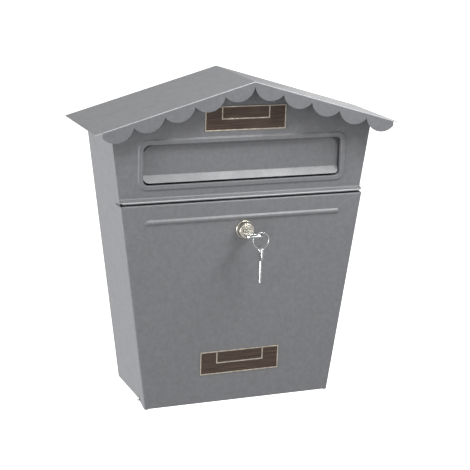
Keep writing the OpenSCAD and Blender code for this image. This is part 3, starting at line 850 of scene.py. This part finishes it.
def key_body(name, node, body, lay, level_low, level_high):
    """A flat key: cut blade with a milled groove on both faces, and a bow with its slot."""
    outline = key_outline()
    groove = rectangle(-1.9, -0.6, 1.6, 25.0, 0.5, 3)
    groove_floor = inset(groove, 0.25)
    slot = rectangle(-6.5, 6.5, 35.0, 41.0, 2.98, 8)
    soften, groove_deep, mid = 0.28, 0.45, (level_low + level_high) / 2
    surface = Surface()
    for loop, sign in ((outline, 1), (slot, -1)):
        layers = [(soften, level_low), (0, level_low + soften), (0, level_high - soften),
                  (soften, level_high)]
        surface.grid([[lay(u, v, level) for u, v in inset(loop, sign * edge)]
                      for edge, level in layers], closed=True)
    for level in (level_low, level_high):
        inward = math.copysign(groove_deep, mid - level)
        surface.grid([[lay(u, v, level) for u, v in groove],
                      [lay(u, v, level + inward) for u, v in groove_floor]], closed=True)
        surface.fill(groove_floor, [], lambda u, v, level=level + inward: lay(u, v, level))
        surface.fill(inset(outline, soften), [inset(slot, -soften), groove],
                     lambda u, v, level=level: lay(u, v, level))
    piece(name, surface, CHROME, body, [node], soften=0, smooth=30)


KEY_HALF_SHEET = (KEY.high - KEY.low) / 2
SPARE_TWIST = math.radians(12)


def on_spare_key(u, v, level):
    """A point of the hanging key, which is turned a little about the vertical."""
    middle_x, middle_depth = (SPARE.left + SPARE.right) / 2, (SPARE.back + SPARE.front) / 2
    x = level * math.cos(SPARE_TWIST) + u * math.sin(SPARE_TWIST)
    inward = u * math.cos(SPARE_TWIST) - level * math.sin(SPARE_TWIST)
    return (middle_x + x, middle_depth - inward, SPARE.low + v)


def split_ring():
    """Two turns of flattened wire, side by side, with the step between them on one side."""
    middle_x, middle_h = (RING.left + RING.right) / 2, (RING.low + RING.high) / 2
    depth = (RING.back + RING.front) / 2
    half_across, half_along, wire_r = 0.5, 0.34, 0.8
    mid_r = (RING.right - RING.left) / 2 - wire_r
    crossing, steps = math.radians(46), 192
    total = 2 * FULL_TURN - crossing
    section = rectangle(-half_across, half_across, -half_along, half_along, 0.28, 4)
    rows = []
    for k in range(steps + 1):
        run = total * k / steps
        turn = HALF_TURN + crossing / 2 + run
        share = smooth_step((run - (FULL_TURN - crossing)) / crossing)
        offset = (share * 2 - 1) * half_along
        along, up = math.cos(turn), math.sin(turn)
        rows.append([(middle_x + (mid_r + u) * along, depth + offset + v, middle_h + (mid_r + u) * up)
                     for u, v in section])
    surface = Surface()
    surface.grid(rows, closed=True)
    surface.cap(rows[0])
    surface.cap(rows[-1])
    piece("split_ring_wire", surface, CHROME, "ring", ["split_ring"], soften=0,
          smooth=50)


# ---- fixings ----


def hinge_pins():
    """A shoulder rivet on each side, with a domed head outside and a formed head inside."""
    outer = PINS.right
    shaft, head, inner = 1.6, 3.0, half_at(4.5) - 2.0
    profile = rounded(
        [(inner, 0.02), (inner, head), (inner + 1, head), (inner + 1, shaft),
         (outer - 1.3, shaft), (outer - 1.3, head), (outer - 0.5, head), (outer, 1.4), (outer, 0.02)],
        [0, 0.4, 0.1, 0.1, 0.1, 0.2, 0.8, 0.6, 0], 5)
    surface = Surface()
    for side in (-1, 1):
        surface.revolve(profile, lambda along, a, b, side=side:
                        (side * along, HINGE_DEPTH + a, HINGE_HEIGHT + b), 32)
    piece("hinge_rivets", surface, ZINC, "box", ["door_hinge_pins"], soften=0, smooth=50)


def kept_nodes():
    """CAD nodes whose shape is right: softened edges and a finish of their own."""
    finishes = {
        "floor_panel": (PAINT, 0.2), "strike_plate": (ZINC, 0.25),
        "left_flap_bracket": (PAINT, 0.2), "right_flap_bracket": (PAINT, 0.2),
        "flap_hinge_rod": (ZINC, 0.3), "rod_end_clips": (ZINC, 0.15),
        "lock_washer": (ZINC, 0.2), "lock_nut": (ZINC, 0.5),
        "lock_cam": (ZINC, 0.35), "cam_screw": (ZINC, 0.35)}
    for name, (material, width) in finishes.items():
        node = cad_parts[name]
        node.data.materials.clear()
        node.data.materials.append(material)
        soften_edges(node, width)


roof()
front_panel()
side_panel(1, "right_side_sheet", "right_side_panel")
side_panel(-1, "left_side_sheet", "left_side_panel")
back_panel()
letter_flap()
door()
plaque("upper_plaque", "upper_plaque", "box", UPPER_PLAQUE)
plaque("door_plaque", "door_plaque", "door", LOWER_PLAQUE)
lock_barrel()
lock_plug()
key_body("key_in_lock", "key", "key",
         lambda u, v, level: (u, KEY.back + v, level), KEY.low, KEY.high)
key_body("hanging_key", "spare_key", "spare_key", on_spare_key, -KEY_HALF_SHEET, KEY_HALF_SHEET)
split_ring()
hinge_pins()
kept_nodes()


# ---- floor, light and camera ----


def studio_world():
    """Even, dim surroundings."""
    world = bpy.data.worlds.new("studio")
    bpy.context.scene.world = world
    world.use_nodes = True
    level = 0.59
    world.node_tree.nodes["Background"].inputs["Color"].default_value = (level, level, level, 1.0)


def studio():
    """White floor below the hanging box, a light overhead, and softer ones at both sides."""
    floor_drop, floor_half = 0.55, 12.0
    bm = bmesh.new()
    low = cad_low.z - floor_drop
    corners = [(-1, -1), (1, -1), (1, 1), (-1, 1)]
    bm.faces.new([bm.verts.new((x * floor_half, y * floor_half, low)) for x, y in corners])
    mesh = bpy.data.meshes.new("floor")
    bm.to_mesh(mesh)
    bm.free()
    floor = bpy.data.objects.new("floor", mesh)
    mesh.materials.append(floor_paint("pale_floor"))
    bpy.context.scene.collection.objects.link(floor)
    floor.visible_diffuse = False
    floor.visible_glossy = False

    middle = (cad_low + cad_high) / 2
    lights = (
        ("overhead_light", (0.37, -0.46, 0.80), 0.9, (0.6, 0.18), 6.0),
        ("right_light", (0.62, -0.72, 0.42), 2.0, (0.25, 0.25), 3.5),
        ("left_light", (-0.97, -0.05, -0.05), 2.4, (1.6, 1.6), 78.0),
        ("back_light", (0.62, 0.75, 0.26), 1.5, (0.5, 0.5), 0.95),
    )
    for name, direction, distance, size, power in lights:
        data = bpy.data.lights.new(name, "AREA")
        data.shape = "RECTANGLE"
        data.size, data.size_y = size
        data.energy = power
        light = bpy.data.objects.new(name, data)
        bpy.context.scene.collection.objects.link(light)
        towards = Vector(direction).normalized()
        light.location = middle + towards * distance
        light.rotation_mode = "QUATERNION"
        light.rotation_quaternion = towards.to_track_quat("Z", "Y")


def camera():
    """The camera stands to the left, a little above, and looks slightly down."""
    place = Vector((-0.6215, -1.5755, 0.4799))
    heading, tilt, roll = (math.radians(degrees) for degrees in (22.51, -15.05, 1.99))
    data = bpy.data.cameras.new("camera")
    data.sensor_width = 36.0
    data.lens = 111.13
    data.clip_start, data.clip_end = 0.05, 60.0
    seen = bpy.data.objects.new("camera", data)
    bpy.context.scene.collection.objects.link(seen)
    level_turn = Matrix.Rotation(-heading, 4, "Z") @ Matrix.Rotation(HALF_TURN / 2 + tilt, 4, "X")
    seen.matrix_world = Matrix.Translation(place) @ level_turn @ Matrix.Rotation(roll, 4, "Z")
    bpy.context.scene.camera = seen


studio_world()
studio()
camera()
bpy.context.scene.view_settings.view_transform = "Standard"
